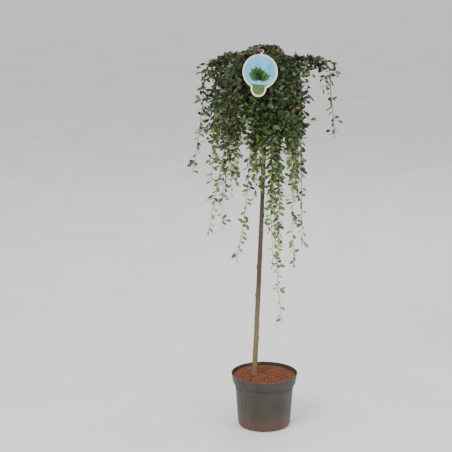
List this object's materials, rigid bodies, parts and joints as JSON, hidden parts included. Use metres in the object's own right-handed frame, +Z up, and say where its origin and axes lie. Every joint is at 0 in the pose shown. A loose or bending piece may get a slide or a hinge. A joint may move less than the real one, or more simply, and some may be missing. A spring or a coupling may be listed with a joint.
{
  "type": "potted weeping bearberry cotoneaster",
  "caption": "Weeping evergreen shrub grafted on a tall bare stem in a round nursery pot, with arching boughs and trailing leafy whips.",
  "frame": {"origin": "centre of the pot's flat underside", "axes": "+Z up along the stem, -Y towards the plant's front, where the label hangs, +X to the right seen from the front"},
  "size_m": [0.5821, 0.4306, 1.423],
  "materials": {
    "nursery_pot": "satin moulded plastic",
    "potting_mix": "moist bark and coir fines",
    "bark": "matt young bark",
    "foliage": "waxy small leaves",
    "label_card": "printed plastic card"
  },
  "bodies": {
    "root": {"pot": "nursery_pot", "potting_mix": "potting_mix", "stem": "bark", "bough_right": "bark", "bough_right_back": "bark", "bough_back_right": "bark", "bough_back_left": "bark", "bough_left_back": "bark", "bough_left": "bark", "bough_left_front": "bark", "bough_front_left": "bark", "bough_front_right": "bark", "bough_right_front": "bark", "foliage_right": "foliage", "foliage_right_back": "foliage", "foliage_back_right": "foliage", "foliage_back_left": "foliage", "foliage_left_back": "foliage", "foliage_left": "foliage", "foliage_left_front": "foliage", "foliage_front_left": "foliage", "foliage_front_right": "foliage", "foliage_right_front": "foliage", "foliage_top": "foliage", "label": "label_card"}
  },
  "joints": []
}
